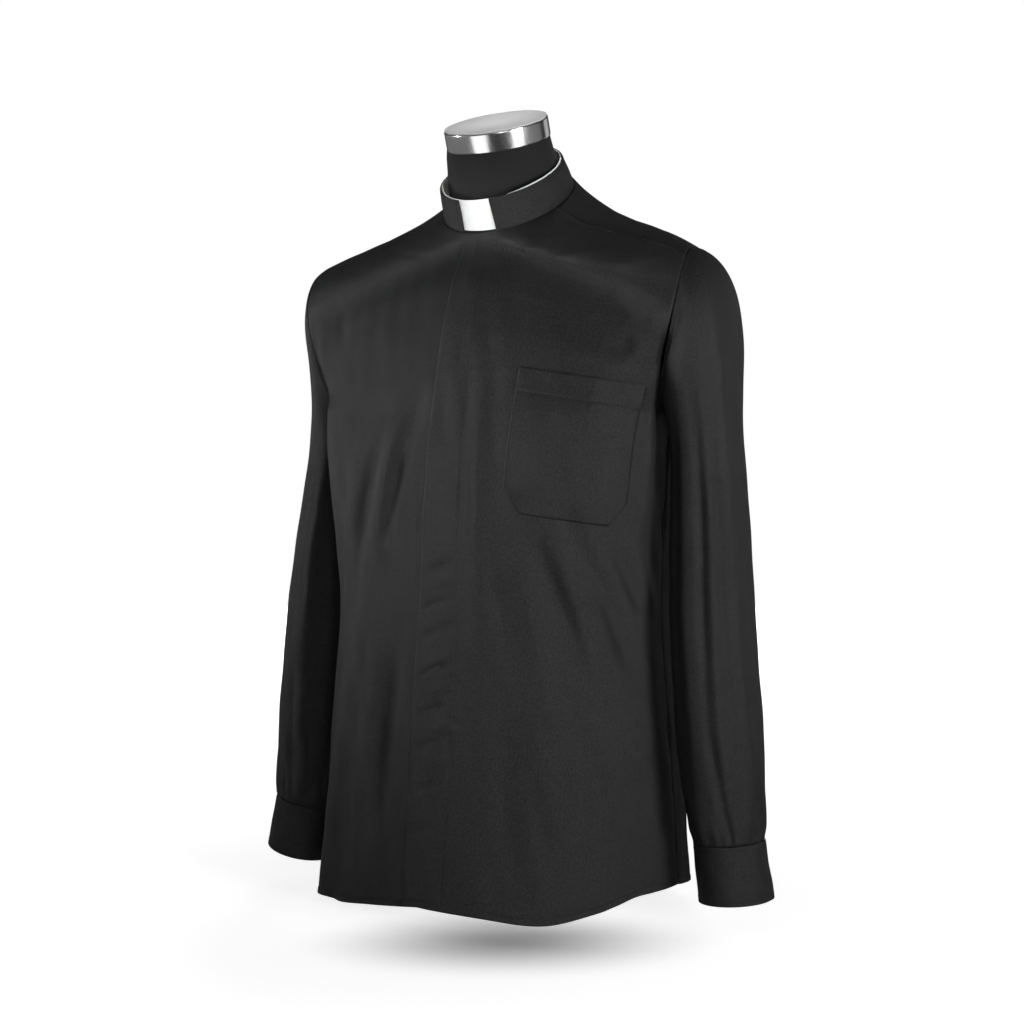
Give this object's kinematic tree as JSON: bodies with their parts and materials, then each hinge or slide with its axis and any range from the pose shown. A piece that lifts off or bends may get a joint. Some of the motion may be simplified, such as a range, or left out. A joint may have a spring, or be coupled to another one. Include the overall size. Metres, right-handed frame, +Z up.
{
  "type": "clergy shirt on dress form",
  "caption": "Black long-sleeved clergy shirt with band collar, white tab insert, fly placket and chest pocket, worn by a limbless dress form.",
  "frame": {"origin": "centre of the dress form's flat foot, on the floor", "axes": "+Z up, -Y is the shirt's front, +X is the wearer's left"},
  "size_m": [0.601, 0.3391, 0.8284],
  "materials": {
    "black_cloth": "fine plain weave, soft sheen",
    "white_collar": "smooth stiffened linen look",
    "button": "gloss",
    "jersey": "matte knitted cover",
    "cap_metal": "brushed and polished",
    "plate": "matte"
  },
  "bodies": {
    "root": {"front_left": "black_cloth", "front_right": "black_cloth", "back": "black_cloth", "yoke": "black_cloth", "sleeve_left": "black_cloth", "sleeve_right": "black_cloth", "cuff_left": "black_cloth", "cuff_right": "black_cloth", "sleeve_placket_left": "black_cloth", "sleeve_placket_right": "black_cloth", "fly_placket": "black_cloth", "chest_pocket": "black_cloth", "collar_band": "black_cloth", "collar_insert": "white_collar", "cuff_button_left": "button", "cuff_button_right": "button", "form_torso": "jersey", "form_neck_cap": "cap_metal", "form_cap_top": "plate", "form_base": "plate"}
  },
  "joints": []
}
